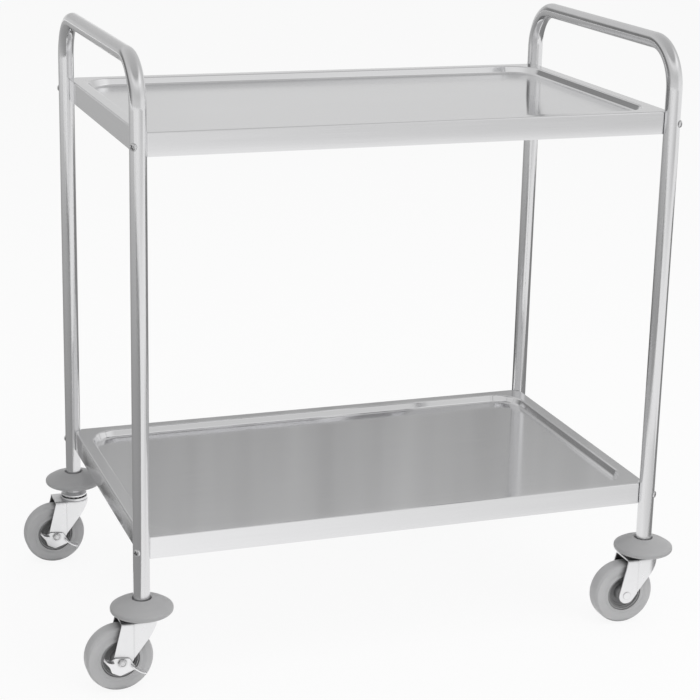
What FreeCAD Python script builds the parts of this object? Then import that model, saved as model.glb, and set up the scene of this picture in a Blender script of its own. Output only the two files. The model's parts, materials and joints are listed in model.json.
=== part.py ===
import FreeCAD, Part
import math
import os
from types import SimpleNamespace

import Sketcher

Vector = FreeCAD.Vector
Rotation = FreeCAD.Rotation

# Two-tier service cart in millimetres: X along the cart, Y from front to rear, Z up from the floor.
# The origin lies on the floor under the middle of the cart's box.

DRIVING_SIZES = {
    # bent tube of the two end frames
    "post_spacing_x": "835",
    "post_spacing_y": "505",
    "tube_diameter": "25",
    "tube_wall": "1.2",
    "handle_above_tray": "100",
    "bend_radius": "68",
    # pressed trays
    "tray_spacing": "605",
    "lower_tray_above_foot": "113.7",
    "tray_inset": "2",
    "notch_gap": "0.3",
    "sheet": "1",
    "skirt_height": "35",
    "skirt_edge_radius": "1.6",
    "flange_width": "20",
    "well_depth": "12",
    "well_draft": "5",
    "well_corner_radius": "48",
    "well_floor_radius": "4",
    # bolts that hold a tray to the posts
    "bolt_drop": "18",
    "bolt_diameter": "6",
    "bolt_hole_gap": "0.2",
    "bolt_head_diameter": "11.5",
    "bolt_head_height": "3.6",
    "bolt_head_radius": "2.4",
    "bolt_end": "2",
    "saddle_thickness": "4",
    "saddle_width": "13",
    "saddle_gap": "0.1",
    "saddle_height": "20",
    "nut_circumradius": "5.8",
    "nut_height": "5",
    "thread_gap": "0.05",
    # bumper and post foot
    "bumper_diameter": "95",
    "bumper_height": "22",
    "bumper_rim_rise": "7",
    "bumper_collar_wall": "2",
    "bumper_shoulder_radius": "33",
    "bumper_shoulder_drop": "5",
    "bumper_recess_depth": "2.3",
    "bumper_recess_gap": "1.5",
    "raised_bumper_lift": "18",
    "collar_gap": "0.3",
    "socket_length": "42",
    "socket_gap": "0.05",
    # swivel of a caster
    "stem_diameter": "12",
    "stem_length_in_socket": "32",
    "stem_collar_diameter": "21",
    "stem_collar_height": "4.5",
    "shaft_gap": "0.05",
    "running_gap": "0.3",
    "head_diameter": "43",
    "head_thickness": "4",
    "ball_diameter": "5",
    "ball_circle_diameter": "31",
    "race_lip_diameter": "45",
    "race_lip_wall": "3",
    "race_lip_height": "3.4",
    # fork of a caster
    "trail": "36",
    "wheel_clearance": "7.5",
    "crown_rear": "36",
    "crown_front": "23",
    "nose_overrun": "4.6",
    "fork_width": "46",
    "fork_nose_radius": "21",
    "fork_sheet": "2.5",
    "fork_end_radius": "13.5",
    # wheel
    "wheel_diameter": "102",
    "tyre_width": "29",
    "tyre_tread_width": "21",
    "tyre_shoulder_drop": "3.6",
    "tyre_shoulder_radius": "8",
    "hub_diameter": "57",
    "hub_rim_wall": "2.5",
    "hub_rim_width": "25",
    "hub_dish_diameter": "42",
    "hub_web": "8",
    "hub_barrel_diameter": "25",
    "hub_barrel_width": "35",
    "bush_diameter": "13",
    "bush_gap": "0.05",
    "tyre_gap": "0.05",
    "axle_diameter": "8",
    "axle_head_diameter": "13",
    "axle_head_height": "4.5",
    "rivet_head_height": "1.4",
    "axle_nut_circumradius": "6.4",
    "axle_nut_height": "4.5",
    # brake lever
    "lever_thickness": "2",
    "lever_left_reach": "28.5",
    "lever_plate_reach": "23",
    "lever_right_reach": "40",
    "lever_tip": "3.6",
    "lever_top": "10",
    "lever_drop": "20.5",
    "lever_lobe": "14",
    "lever_corner_radius": "3",
    "lever_tab_width": "12",
    "lever_tilt": "27",
}
BALLS = 14
FAR = 400.0
TRAYS = ("upper_tray", "lower_tray")
# name of each corner, its side along X and its side along Y
CORNERS = (("front_left", -1, -1), ("rear_left", -1, 1), ("front_right", 1, -1), ("rear_right", 1, 1))
BRAKED_CORNERS = ("front_left", "rear_left")
# where the bumper ring sits higher on its tube and bares the swivel head
RAISED_BUMPERS = ("rear_left",)


class Size:
    """A length that carries its number and the formula it comes from."""

    def __init__(self, value, formula):
        self.value = value
        self.formula = formula

    def __add__(self, other):
        other = as_size(other)
        return Size(self.value + other.value, f"({self.formula} + {other.formula})")

    def __sub__(self, other):
        other = as_size(other)
        return Size(self.value - other.value, f"({self.formula} - {other.formula})")

    def __mul__(self, other):
        other = as_size(other)
        return Size(self.value * other.value, f"({self.formula} * {other.formula})")

    def __truediv__(self, other):
        other = as_size(other)
        return Size(self.value / other.value, f"({self.formula} / {other.formula})")

    def __neg__(self):
        return Size(-self.value, f"(0 - {self.formula})")


def as_size(number):
    return number if isinstance(number, Size) else Size(float(number), f"({float(number)})")


ZERO = as_size(0)
doc = FreeCAD.newDocument("service_cart")
dims = doc.addObject("Spreadsheet::Sheet", "dims")
for row, (alias, text) in enumerate(DRIVING_SIZES.items(), start=1):
    dims.set(f"A{row}", alias)
    dims.set(f"B{row}", text)
    dims.setAlias(f"B{row}", alias)
doc.recompute()
s = SimpleNamespace()
for alias in DRIVING_SIZES:
    setattr(s, alias, Size(float(getattr(dims, alias)), f"dims.{alias}"))

# Sizes that follow from the driving ones
tube_radius = s.tube_diameter / 2
tube_bore_radius = tube_radius - s.tube_wall
wheel_radius = s.wheel_diameter / 2
axle_height = wheel_radius
axle_radius = s.axle_diameter / 2
cart_shift = (s.trail + wheel_radius - s.bumper_diameter / 2) / 2
notch_radius = tube_radius + s.notch_gap
bolt_hole_radius = s.bolt_diameter / 2 + s.bolt_hole_gap
saddle_seat_radius = notch_radius + s.sheet + s.saddle_gap
saddle_back = saddle_seat_radius + s.saddle_thickness
cheek_outside = s.fork_width / 2
cheek_inside = cheek_outside - s.fork_sheet
lever_inner = cheek_outside + s.running_gap
lever_outer = lever_inner + s.lever_thickness
bush_half = cheek_inside - s.running_gap
stem_radius = s.stem_diameter / 2
socket_radius = tube_bore_radius - s.socket_gap
collar_radius = tube_radius + s.collar_gap
# Heights, stacked up from the floor
crown_underside = s.wheel_diameter + s.wheel_clearance
crown_height = crown_underside + s.fork_sheet
ball_top = crown_height + s.ball_diameter
head_bottom = ball_top + s.running_gap
head_top = head_bottom + s.head_thickness
foot_height = head_top
lower_tray_height = foot_height + s.lower_tray_above_foot
upper_tray_height = lower_tray_height + s.tray_spacing
handle_height = upper_tray_height + s.handle_above_tray

made = []


def bind(feature, target, size):
    """Ties one property of a feature to its formula."""
    feature.setExpression(target, size.formula)


def place(piece, x, y, z):
    for axis, size in zip("xyz", (x, y, z)):
        bind(piece, f"Placement.Base.{axis}", size)


def finish(piece, label):
    """Gives a sub-part the name of its node and keeps it for writing."""
    piece.Label = label
    made.append(piece)
    return piece


def new_body(label, x=ZERO, y=ZERO, z=ZERO):
    body = doc.addObject("PartDesign::Body", label)
    place(body, x, y, z)
    return finish(body, label)


def post_place(side_x, side_y):
    return cart_shift + s.post_spacing_x * side_x / 2, s.post_spacing_y * side_y / 2


def new_sketch(body, name, plane, level=ZERO):
    """Empty sketch on one of the body's own planes, raised by level along the plane's normal."""
    sketch = body.newObject("Sketcher::SketchObject", name)
    support = next(f for f in body.Origin.OriginFeatures if f.Role == plane)
    sketch.AttachmentSupport = (support, [""])
    sketch.MapMode = "FlatFace"
    bind(sketch, "AttachmentOffset.Base.z", level)
    return sketch


def bind_point(sketch, geometry, position, x, y):
    for kind, size in (("DistanceX", x), ("DistanceY", y)):
        number = sketch.addConstraint(Sketcher.Constraint(kind, -1, 1, geometry, position, size.value))
        bind(sketch, f"Constraints[{number}]", size)


def bind_radius(sketch, geometry, radius):
    number = sketch.addConstraint(Sketcher.Constraint("Radius", geometry, radius.value))
    bind(sketch, f"Constraints[{number}]", radius)


def draw_circle(sketch, x, y, radius):
    circle = Part.Circle(Vector(x.value, y.value, 0), Vector(0, 0, 1), radius.value)
    geometry = sketch.addGeometry(circle, False)
    bind_point(sketch, geometry, 3, x, y)
    bind_radius(sketch, geometry, radius)


def corner_round(before, spot, after, radius):
    """Tangent points and middle of the arc that rounds a corner."""
    back = (before - spot).normalize()
    ahead = (after - spot).normalize()
    half_turn = back.getAngle(ahead) / 2
    reach = radius / math.tan(half_turn)
    bisector = (back + ahead).normalize()
    middle = spot + bisector * (radius / math.sin(half_turn) - radius)
    return spot + back * reach, middle, spot + ahead * reach


def draw_outline(sketch, corners, closed=True):
    """Straight sides from corner to corner. A corner with a third size is rounded to that radius."""
    spots = [Vector(c[0].value, c[1].value, 0) for c in corners]
    radii = [c[2] if len(c) > 2 else None for c in corners]
    count = len(corners)
    rounds = {}
    for i, radius in enumerate(radii):
        if radius is not None:
            rounds[i] = corner_round(spots[i - 1], spots[i], spots[(i + 1) % count], radius.value)
    sides = []
    for i in range(count if closed else count - 1):
        j = (i + 1) % count
        start = rounds[i][2] if i in rounds else spots[i]
        end = rounds[j][0] if j in rounds else spots[j]
        sides.append(sketch.addGeometry(Part.LineSegment(start, end), False))
    for i, corner in enumerate(corners):
        at_start = not closed and i == 0
        at_end = not closed and i == count - 1
        if at_start:
            bind_point(sketch, sides[0], 1, corner[0], corner[1])
        elif at_end:
            bind_point(sketch, sides[-1], 2, corner[0], corner[1])
        elif i in rounds:
            join_round(sketch, sides[i - 1], sides[i], rounds[i], corner)
        else:
            sketch.addConstraint(Sketcher.Constraint("Coincident", sides[i - 1], 2, sides[i], 1))
            bind_point(sketch, sides[i], 1, corner[0], corner[1])


def join_round(sketch, side_in, side_out, spots, corner):
    """Arc tangent to two sides, whose lines meet in the corner."""
    arc = sketch.addGeometry(Part.Arc(*spots), False)
    first = 1
    if sketch.Geometry[arc].StartPoint.distanceToPoint(spots[0]) > 1e-6:
        first = 2
    sketch.addConstraint(Sketcher.Constraint("Tangent", side_in, 2, arc, first))
    sketch.addConstraint(Sketcher.Constraint("Tangent", arc, 3 - first, side_out, 1))
    bind_radius(sketch, arc, corner[2])
    tip = sketch.addGeometry(Part.Point(Vector(corner[0].value, corner[1].value, 0)), True)
    sketch.addConstraint(Sketcher.Constraint("PointOnObject", tip, 1, side_in))
    sketch.addConstraint(Sketcher.Constraint("PointOnObject", tip, 1, side_out))
    bind_point(sketch, tip, 1, corner[0], corner[1])


def rectangle(half_x, half_y, radius=None):
    ends = ((-half_x, -half_y), (half_x, -half_y), (half_x, half_y), (-half_x, half_y))
    return [end if radius is None else end + (radius,) for end in ends]


def pad(body, sketch, length, reverse=False):
    feature = body.newObject("PartDesign::Pad", "Pad")
    feature.Profile = sketch
    bind(feature, "Length", length)
    feature.Reversed = reverse
    return feature


def pocket(body, sketch, length=None, reverse=False):
    """Cut along the sketch's normal reversed, to a depth or right through both ways."""
    before = volume_of(body)
    feature = body.newObject("PartDesign::Pocket", "Pocket")
    feature.Profile = sketch
    feature.Reversed = reverse
    if length is None:
        feature.SideType = "Symmetric"
        feature.Length = FAR
    else:
        bind(feature, "Length", length)
    if volume_of(body) >= before:
        raise RuntimeError(f"{body.Label}: a pocket cuts nothing")
    return feature


def volume_of(body):
    doc.recompute()
    return body.Tip.Shape.Volume


def revolve(body, sketch, axis="V_Axis"):
    feature = body.newObject("PartDesign::Revolution", "Revolution")
    feature.Profile = sketch
    feature.ReferenceAxis = (sketch, [axis])
    feature.Angle = 360
    return feature


def turned(label, plane, corners, x, y, z):
    """Body turned from one outline: radius across, distance along the axis up."""
    body = new_body(label, x, y, z)
    sketch = new_sketch(body, "Profile", plane)
    draw_outline(sketch, corners)
    revolve(body, sketch)
    return body


def round_edges(body, radius, wanted):
    """Fillet on the edges of the body that the test picks out."""
    doc.recompute()
    base = body.Tip
    names = [f"Edge{i}" for i, edge in enumerate(base.Shape.Edges, start=1) if wanted(edge)]
    feature = body.newObject("PartDesign::Fillet", "Fillet")
    feature.Base = (base, names)
    bind(feature, "Radius", radius)
    return feature


def cylinder(name, radius, height):
    piece = doc.addObject("Part::Cylinder", name)
    bind(piece, "Radius", radius)
    bind(piece, "Height", height)
    return piece


def aim(piece, distance, post_x, post_y, height, inward):
    """Lays a piece's own Z axis along the line through a post towards the tray, from a distance on it."""
    piece.Placement.Rotation = Rotation(Vector(0, 0, 1), inward)
    slant = distance * math.sqrt(0.5)
    along_x = slant * math.copysign(1, inward.x)
    along_y = slant * math.copysign(1, inward.y)
    place(piece, post_x + along_x, post_y + along_y, height)


def cut(name, base, tool):
    piece = doc.addObject("Part::Cut", name)
    piece.Base = base
    piece.Tool = tool
    return piece


def fuse(name, base, tool):
    piece = doc.addObject("Part::Fuse", name)
    piece.Base = base
    piece.Tool = tool
    return piece


def group(label, pieces):
    """Node that holds several separate solids."""
    node = doc.addObject("Part::Compound", label)
    node.Links = pieces
    return finish(node, label)


def inward_from(side_x, side_y):
    return Vector(-side_x, -side_y, 0).normalize()


def bolt_heights():
    return [upper_tray_height - s.bolt_drop, lower_tray_height - s.bolt_drop]


# End frames: one bent tube each, drilled for the tray bolts
def end_frame(label, side_x):
    body = new_body(label, post_place(side_x, 1)[0], ZERO, ZERO)
    # the two posts are apart until the handle joins them
    body.AllowCompound = True
    half = s.post_spacing_y / 2
    bend_level = handle_height - s.bend_radius
    handle_half = half - s.bend_radius
    posts = new_sketch(body, "Posts", "XY_Plane", foot_height)
    for side_y in (-1, 1):
        draw_tube(posts, ZERO, half * side_y)
    pad(body, posts, bend_level - foot_height)
    for side_y in (-1, 1):
        for height in bolt_heights():
            spot = (ZERO, half * side_y, height, inward_from(side_x, side_y))
            bolt_hole(body, -s.tube_diameter, s.tube_diameter * 2, *spot)
    for side_y in (-1, 1):
        bend = new_sketch(body, "Bend", "XY_Plane", bend_level)
        draw_tube(bend, ZERO, half * side_y)
        turn = revolve(body, bend, draw_axis(bend, handle_half * side_y))
        turn.Angle = 90
        turn.Reversed = side_y < 0
        doc.recompute()
    handle = new_sketch(body, "Handle", "XZ_Plane", handle_half)
    draw_tube(handle, ZERO, handle_height)
    pad(body, handle, handle_half * 2, reverse=True)
    doc.recompute()
    if len(body.Shape.Solids) != 1:
        raise RuntimeError(f"{label} is not one bent tube")


def draw_tube(sketch, x, y):
    draw_circle(sketch, x, y, tube_radius)
    draw_circle(sketch, x, y, tube_bore_radius)


def draw_axis(sketch, y):
    """Line across the sketch that a bend turns about."""
    ends = [Vector(-1, y.value, 0), Vector(1, y.value, 0)]
    axis = sketch.addGeometry(Part.LineSegment(*ends), True)
    bind_point(sketch, axis, 1, as_size(-1), y)
    bind_point(sketch, axis, 2, as_size(1), y)
    return "Axis0"


def bolt_hole(body, start, length, *spot):
    """Hole on the line through a post and the tray's corner, from a distance on it."""
    before = volume_of(body)
    hole = body.newObject("PartDesign::SubtractiveCylinder", "BoltHole")
    bind(hole, "Radius", bolt_hole_radius)
    bind(hole, "Height", length)
    aim(hole, start, *spot)
    if volume_of(body) >= before:
        raise RuntimeError(f"{body.Label}: a bolt hole cuts nothing")


# Trays: sheet pressed to a shallow well, with a turned-down skirt that is notched round the posts
def tray(label, height):
    body = new_body(label, cart_shift, ZERO, height)
    half_x = s.post_spacing_x / 2 - s.tray_inset
    half_y = s.post_spacing_y / 2 - s.tray_inset
    outline = new_sketch(body, "Outline", "XY_Plane")
    draw_outline(outline, rectangle(half_x, half_y))
    pad(body, outline, s.skirt_height, reverse=True)
    notches = new_sketch(body, "Notches", "XY_Plane")
    for _, side_x, side_y in CORNERS:
        draw_circle(notches, s.post_spacing_x * side_x / 2, s.post_spacing_y * side_y / 2, notch_radius)
    pocket(body, notches, s.skirt_height * 2)
    hollow_from_below(body)
    round_edges(body, s.skirt_edge_radius, lies_at(0.0))
    well_x = half_x - s.flange_width
    well_y = half_y - s.flange_width
    floor_x = well_x - s.well_draft
    floor_y = well_y - s.well_draft
    floor_round = s.well_corner_radius - s.well_draft
    well_bottom = -s.well_depth
    wall = s.sheet
    outside_round = s.well_corner_radius + wall
    well = body.newObject("PartDesign::AdditiveLoft", "WellOutside")
    well.Profile = rounded_level(body, well_x + wall, well_y + wall, outside_round, ZERO)
    lowest = (floor_x + wall, floor_y + wall, floor_round + wall, well_bottom - wall)
    well.Sections = [rounded_level(body, *lowest)]
    before = volume_of(body)
    hollow = body.newObject("PartDesign::SubtractiveLoft", "WellInside")
    hollow.Profile = rounded_level(body, well_x, well_y, s.well_corner_radius, ZERO)
    hollow.Sections = [rounded_level(body, floor_x, floor_y, floor_round, well_bottom)]
    if volume_of(body) >= before:
        raise RuntimeError(f"{label}: the well cuts nothing")
    round_edges(body, s.well_floor_radius, lies_at(well_bottom.value))
    for _, side_x, side_y in CORNERS:
        post_x = s.post_spacing_x * side_x / 2
        post_y = s.post_spacing_y * side_y / 2
        bolt_hole(body, ZERO, s.tube_diameter, post_x, post_y, -s.bolt_drop, inward_from(side_x, side_y))


def lies_at(level):
    """Test that picks the edges lying flat at one height of a body."""
    return lambda edge: abs(edge.BoundBox.ZMin - level) < 1e-4 and abs(edge.BoundBox.ZMax - level) < 1e-4


def rounded_level(body, half_x, half_y, radius, level):
    sketch = new_sketch(body, "Level", "XY_Plane", level)
    draw_outline(sketch, rectangle(half_x, half_y, radius))
    return sketch


def hollow_from_below(body):
    """Leaves a wall of sheet thickness, open at the underside."""
    doc.recompute()
    base = body.Tip
    lowest = min(range(len(base.Shape.Faces)), key=lambda i: base.Shape.Faces[i].CenterOfMass.z)
    shell = body.newObject("PartDesign::Thickness", "Sheet")
    shell.Base = (base, [f"Face{lowest + 1}"])
    bind(shell, "Value", s.sheet)
    shell.Reversed = True
    shell.Join = "Intersection"


# Tray bolts with their saddle washers and nuts, four of each to a tray
def tray_fasteners(tray_label, height):
    bolts = []
    saddles = []
    nuts = []
    for corner, side_x, side_y in CORNERS:
        post_x, post_y = post_place(side_x, side_y)
        inward = inward_from(side_x, side_y)
        name = f"{tray_label}_{corner}"
        spot = (post_x, post_y, height, inward)
        bolts.append(tray_bolt(name, *spot))
        saddles.append(saddle_washer(name, *spot))
        nut = hex_nut(f"{name}_nut", s.nut_circumradius, s.nut_height, s.bolt_diameter / 2 + s.thread_gap)
        aim(nut, saddle_back, *spot)
        nuts.append(nut)
    group(f"{tray_label}_bolts", bolts)
    group(f"{tray_label}_saddle_washers", saddles)
    group(f"{tray_label}_nuts", nuts)


def tray_bolt(name, *spot):
    """Pan-head bolt whose head bears on the outer side of the post."""
    head = cylinder(f"{name}_bolt_head", s.bolt_head_diameter / 2, s.bolt_head_height)
    aim(head, -tube_radius - s.bolt_head_height, *spot)
    shank_length = tube_radius + saddle_back + s.nut_height + s.bolt_end
    shank = cylinder(f"{name}_bolt_shank", s.bolt_diameter / 2, shank_length)
    aim(shank, -tube_radius, *spot)
    doc.recompute()
    on_axis = Vector(*[size.value for size in spot[:3]])
    outer_rim = on_axis - spot[3] * (tube_radius + s.bolt_head_height).value
    dome = doc.addObject("Part::Fillet", f"{name}_bolt_dome")
    dome.Base = head
    radius = s.bolt_head_radius.value
    rims = [i for i, edge in enumerate(head.Shape.Edges, start=1)
            if isinstance(edge.Curve, Part.Circle) and edge.Curve.Center.distanceToPoint(outer_rim) < 1e-3]
    dome.Edges = [(i, radius, radius) for i in rims]
    return fuse(f"{name}_bolt", dome, shank)


def saddle_washer(name, *spot):
    """Block that fits the round corner of the skirt on one side and gives the nut a flat seat."""
    block = doc.addObject("Part::Box", f"{name}_saddle_block")
    bind(block, "Length", saddle_back)
    bind(block, "Width", s.saddle_width)
    bind(block, "Height", s.saddle_height)
    post_x, post_y, height, inward = spot
    block.Placement.Rotation = Rotation(Vector(1, 0, 0), inward)
    half_across = s.saddle_width * math.sqrt(0.5) / 2
    shift_x = half_across * math.copysign(1, inward.y)
    shift_y = -half_across * math.copysign(1, inward.x)
    place(block, post_x + shift_x, post_y + shift_y, height - s.saddle_height / 2)
    seat = cylinder(f"{name}_saddle_seat", saddle_seat_radius, s.skirt_height * 2)
    place(seat, post_x, post_y, height - s.skirt_height)
    bore = cylinder(f"{name}_saddle_bore", bolt_hole_radius, saddle_back * 2)
    aim(bore, ZERO, *spot)
    return cut(f"{name}_saddle", cut(f"{name}_saddle_curved", block, seat), bore)


def hex_nut(name, circumradius, height, bore_radius):
    """Six-sided nut along its own Z axis, left free to be placed."""
    blank = doc.addObject("Part::Prism", f"{name}_blank")
    blank.Polygon = 6
    bind(blank, "Circumradius", circumradius)
    bind(blank, "Height", height)
    bore = cylinder(f"{name}_bore", bore_radius, height)
    return cut(name, blank, bore)


# Post foot: bumper ring round the tube, socket in it and swivel head under it
def post_foot(corner, x, y):
    rim = s.bumper_diameter / 2
    rim_round = s.bumper_rim_rise * 0.6
    recess = s.head_diameter / 2 + s.bumper_recess_gap
    seat = head_top
    if corner in RAISED_BUMPERS:
        seat = head_top + s.raised_bumper_lift
    lip = seat - s.bumper_recess_depth
    top = lip + s.bumper_height
    bumper_corners = [
        (recess, lip),
        (rim, lip, rim_round),
        (rim, lip + s.bumper_rim_rise, rim_round),
        (s.bumper_shoulder_radius, top - s.bumper_shoulder_drop),
        (collar_radius + s.bumper_collar_wall, top),
        (collar_radius, top),
        (collar_radius, seat),
        (recess, seat),
    ]
    turned(f"{corner}_bumper", "XZ_Plane", bumper_corners, x, y, ZERO)
    thread_radius = stem_radius + s.thread_gap
    socket_corners = [
        (thread_radius, foot_height),
        (socket_radius, foot_height),
        (socket_radius, foot_height + s.socket_length),
        (thread_radius, foot_height + s.socket_length),
    ]
    turned(f"{corner}_stem_socket", "XZ_Plane", socket_corners, x, y, ZERO)
    head_corners = [
        (thread_radius, head_bottom),
        (s.head_diameter / 2, head_bottom),
        (s.head_diameter / 2, head_top),
        (thread_radius, head_top),
    ]
    turned(f"{corner}_swivel_head", "XZ_Plane", head_corners, x, y, ZERO)
    collar_top = crown_underside - s.running_gap
    stem_corners = [
        (ZERO, collar_top - s.stem_collar_height),
        (s.stem_collar_diameter / 2, collar_top - s.stem_collar_height),
        (s.stem_collar_diameter / 2, collar_top),
        (stem_radius, collar_top),
        (stem_radius, foot_height + s.stem_length_in_socket),
        (ZERO, foot_height + s.stem_length_in_socket),
    ]
    turned(f"{corner}_stem", "XZ_Plane", stem_corners, x, y, ZERO)


# Fork: stamped channel with a rounded nose, its cheeks tapering to the axle
def fork(corner, x, y):
    body = new_body(f"{corner}_fork", x, y, ZERO)
    lowest = axle_height - s.fork_end_radius
    plan = new_sketch(body, "Plan", "XY_Plane", crown_height)
    reach = s.trail + s.fork_end_radius * 2
    draw_outline(plan, nose_plan(reach, s.crown_front, cheek_outside, s.fork_nose_radius))
    pad(body, plan, crown_height - lowest, reverse=True)
    channel = new_sketch(body, "Channel", "XY_Plane", crown_underside)
    nose_inside = s.fork_nose_radius - s.fork_sheet
    rear = s.trail + s.fork_end_radius * 4
    draw_outline(channel, nose_plan(rear, s.crown_front - s.fork_sheet, cheek_inside, nose_inside))
    pocket(body, channel, crown_height)
    trim = new_sketch(body, "SideTrim", "XZ_Plane")
    draw_outline(trim, rectangle(as_size(FAR), as_size(FAR)))
    draw_cheek(trim)
    pocket(body, trim)
    lip = new_sketch(body, "RaceLip", "XY_Plane", crown_height)
    draw_circle(lip, ZERO, ZERO, s.race_lip_diameter / 2)
    draw_circle(lip, ZERO, ZERO, s.race_lip_diameter / 2 - s.race_lip_wall)
    pad(body, lip, s.race_lip_height)
    stem_hole = new_sketch(body, "StemHole", "XY_Plane")
    draw_circle(stem_hole, ZERO, ZERO, stem_radius + s.shaft_gap)
    pocket(body, stem_hole)
    axle_hole = new_sketch(body, "AxleHole", "XZ_Plane")
    draw_circle(axle_hole, -s.trail, axle_height, axle_radius + s.shaft_gap)
    pocket(body, axle_hole)


def nose_plan(rear, front, half_width, nose_radius):
    return [
        (-rear, -half_width),
        (front, -half_width, nose_radius),
        (front, half_width, nose_radius),
        (-rear, half_width),
    ]


def draw_cheek(sketch):
    """Side view of a cheek: crown at the top, two edges that run tangent into the round end at the axle."""
    centre = Vector(-s.trail.value, axle_height.value, 0)
    radius = s.fork_end_radius.value
    rear_top = Vector(-s.crown_rear.value, crown_height.value, 0)
    front_reach = s.crown_front + s.nose_overrun
    front_top = Vector(front_reach.value, crown_height.value, 0)
    rear_touch = tangent_point(centre, radius, rear_top, 1)
    front_touch = tangent_point(centre, radius, front_top, -1)
    bottom = centre - Vector(0, radius, 0)
    top = sketch.addGeometry(Part.LineSegment(front_top, rear_top), False)
    rear = sketch.addGeometry(Part.LineSegment(rear_top, rear_touch), False)
    end = sketch.addGeometry(Part.Arc(rear_touch, bottom, front_touch), False)
    front = sketch.addGeometry(Part.LineSegment(front_touch, front_top), False)
    sketch.addConstraint(Sketcher.Constraint("Coincident", top, 2, rear, 1))
    sketch.addConstraint(Sketcher.Constraint("Coincident", front, 2, top, 1))
    bind_point(sketch, top, 1, front_reach, crown_height)
    bind_point(sketch, top, 2, -s.crown_rear, crown_height)
    bind_point(sketch, end, 3, -s.trail, axle_height)
    bind_radius(sketch, end, s.fork_end_radius)
    sketch.addConstraint(Sketcher.Constraint("Tangent", rear, 2, end, 1))
    sketch.addConstraint(Sketcher.Constraint("Tangent", end, 2, front, 1))


def tangent_point(centre, radius, outside, turn):
    """Point where a line from outside touches a circle, on the side that turn chooses."""
    toward = outside - centre
    swing = math.acos(radius / toward.Length) * turn
    heading = math.atan2(toward.y, toward.x) + swing
    return centre + Vector(math.cos(heading), math.sin(heading), 0) * radius


def bearing_balls(corner, x, y):
    """Ring of balls that lies on the fork's crown under the swivel head."""
    body = new_body(f"{corner}_bearing_balls", x, y, ZERO)
    body.AllowCompound = True
    ball = body.newObject("PartDesign::AdditiveSphere", "Ball")
    bind(ball, "Radius", s.ball_diameter / 2)
    place(ball, s.ball_circle_diameter / 2, ZERO, crown_height + s.ball_diameter / 2)
    doc.recompute()
    ring = body.newObject("PartDesign::PolarPattern", "Ring")
    ring.Originals = [ball]
    axis = next(f for f in body.Origin.OriginFeatures if f.Role == "Z_Axis")
    ring.Axis = (axis, [""])
    ring.Angle = 360
    ring.Occurrences = BALLS
    body.Tip = ring


# Wheel: tyre, hub and bush turned about the axle
def wheel(corner, x, y):
    half_tyre = s.tyre_width / 2
    hub_radius = s.hub_diameter / 2
    tyre_bore = hub_radius + s.tyre_gap
    half_tread = s.tyre_tread_width / 2
    shoulder = wheel_radius - s.tyre_shoulder_drop
    tyre_corners = [
        (tyre_bore, -half_tyre),
        (shoulder, -half_tyre),
        (wheel_radius, -half_tread, s.tyre_shoulder_radius),
        (wheel_radius, half_tread, s.tyre_shoulder_radius),
        (shoulder, half_tyre),
        (tyre_bore, half_tyre),
    ]
    turned(f"{corner}_tyre", "XY_Plane", tyre_corners, x, y, axle_height)
    rim_inside = hub_radius - s.hub_rim_wall
    dish = s.hub_dish_diameter / 2
    half_rim = s.hub_rim_width / 2
    half_web = s.hub_web / 2
    barrel = s.hub_barrel_diameter / 2
    half_barrel = s.hub_barrel_width / 2
    bush_radius = s.bush_diameter / 2
    hub_bore = bush_radius + s.bush_gap
    hub_corners = [
        (hub_bore, -half_barrel),
        (barrel, -half_barrel),
        (barrel, -half_web),
        (dish, -half_web),
        (rim_inside, -half_rim),
        (hub_radius, -half_rim),
        (hub_radius, half_rim),
        (rim_inside, half_rim),
        (dish, half_web),
        (barrel, half_web),
        (barrel, half_barrel),
        (hub_bore, half_barrel),
    ]
    turned(f"{corner}_hub", "XY_Plane", hub_corners, x, y, axle_height)
    bore = axle_radius + s.shaft_gap
    bush_corners = [
        (bore, -bush_half),
        (bush_radius, -bush_half),
        (bush_radius, bush_half),
        (bore, bush_half),
    ]
    turned(f"{corner}_bush", "XY_Plane", bush_corners, x, y, axle_height)


# Axles: a bolt with a nut outside the lever on a braked caster, a flat-headed rivet on the others
def axle_bolt(corner, x, y):
    nut_face = -(lever_outer + s.running_gap)
    end = nut_face - s.axle_nut_height
    bolt_corners = [
        (ZERO, end),
        (axle_radius, end),
        (axle_radius, cheek_outside),
        (s.axle_head_diameter / 2, cheek_outside),
        (s.axle_head_diameter / 2, cheek_outside + s.axle_head_height),
        (ZERO, cheek_outside + s.axle_head_height),
    ]
    turned(f"{corner}_axle_bolt", "XY_Plane", bolt_corners, x, y, axle_height)
    nut_bore = axle_radius + s.thread_gap
    nut = hex_nut(f"{corner}_axle_nut", s.axle_nut_circumradius, s.axle_nut_height, nut_bore)
    nut.Placement.Rotation = Rotation(Vector(0, 0, 1), Vector(0, -1, 0))
    place(nut, x, y + nut_face, axle_height)
    finish(nut, f"{corner}_axle_nut")


def axle_rivet(corner, x, y):
    head = s.axle_head_diameter / 2
    outer = cheek_outside + s.rivet_head_height
    rivet_corners = [
        (ZERO, -outer),
        (head, -outer),
        (head, -cheek_outside),
        (axle_radius, -cheek_outside),
        (axle_radius, cheek_outside),
        (head, cheek_outside),
        (head, outer),
        (ZERO, outer),
    ]
    turned(f"{corner}_axle_rivet", "XY_Plane", rivet_corners, x, y, axle_height)


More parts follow.
